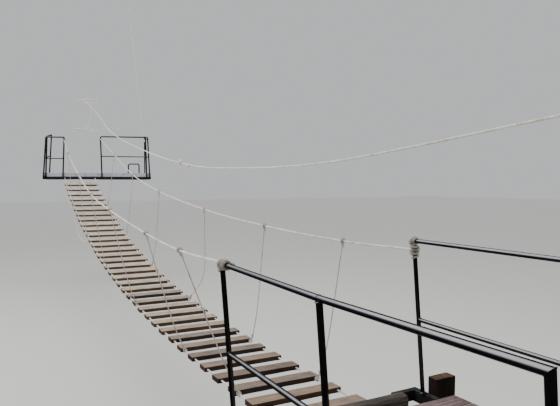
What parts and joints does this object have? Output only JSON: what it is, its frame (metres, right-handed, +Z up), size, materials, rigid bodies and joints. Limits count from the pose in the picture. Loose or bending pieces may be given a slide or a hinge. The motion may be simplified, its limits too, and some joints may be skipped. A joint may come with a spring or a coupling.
{
  "type": "rope suspension footbridge",
  "caption": "Narrow rope footbridge of sawn planks threaded on two foot ropes, with rope handrails and hangers between a near landing with pipe railings and a raised far landing.",
  "frame": {"origin": "middle of the flat foot of the near left front post", "axes": "+Y along the walkway from the near to the far landing, +X to the right when walking that way, +Z up"},
  "size_m": [3.1902, 14.7118, 7.7606],
  "materials": {
    "plank": "weathered sawn boards",
    "rope": "laid rope, slightly dirty",
    "pipe": "black gloss enamel",
    "steel": "black painted steel",
    "board": "red-brown stained boards",
    "beam": "grey-brown mossy log",
    "timber": "dark stained squared timber",
    "deck": "pale grey deck"
  },
  "bodies": {
    "root": {"slat_01": "plank", "slat_02": "plank", "slat_03": "plank", "slat_04": "plank", "slat_05": "plank", "slat_06": "plank", "slat_07": "plank", "slat_08": "plank", "slat_09": "plank", "slat_10": "plank", "slat_11": "plank", "slat_12": "plank", "slat_13": "plank", "slat_14": "plank", "slat_15": "plank", "slat_16": "plank", "slat_17": "plank", "slat_18": "plank", "slat_19": "plank", "slat_20": "plank", "slat_21": "plank", "slat_22": "plank", "slat_23": "plank", "slat_24": "plank", "slat_25": "plank", "slat_26": "plank", "slat_27": "plank", "slat_28": "plank", "slat_29": "plank", "slat_30": "plank", "slat_31": "plank", "slat_32": "plank", "slat_33": "plank", "slat_34": "plank", "slat_35": "plank", "foot_rope_left": "rope", "foot_rope_right": "rope", "handrail_net_left": "rope", "handrail_net_right": "rope", "stay_rope": "rope", "trunk_slings": "rope", "life_line": "rope", "near_railing_left": "pipe", "near_railing_right": "pipe", "far_railing_left": "pipe", "far_railing_right": "pipe", "far_hoop": "pipe", "near_frame": "steel", "far_frame": "steel", "near_floor": "board", "near_front_beam": "beam", "far_deck": "deck", "near_post_front_left": "timber", "near_post_front_right": "timber", "near_post_rear_left": "timber", "near_post_rear_right": "timber"}
  },
  "joints": []
}
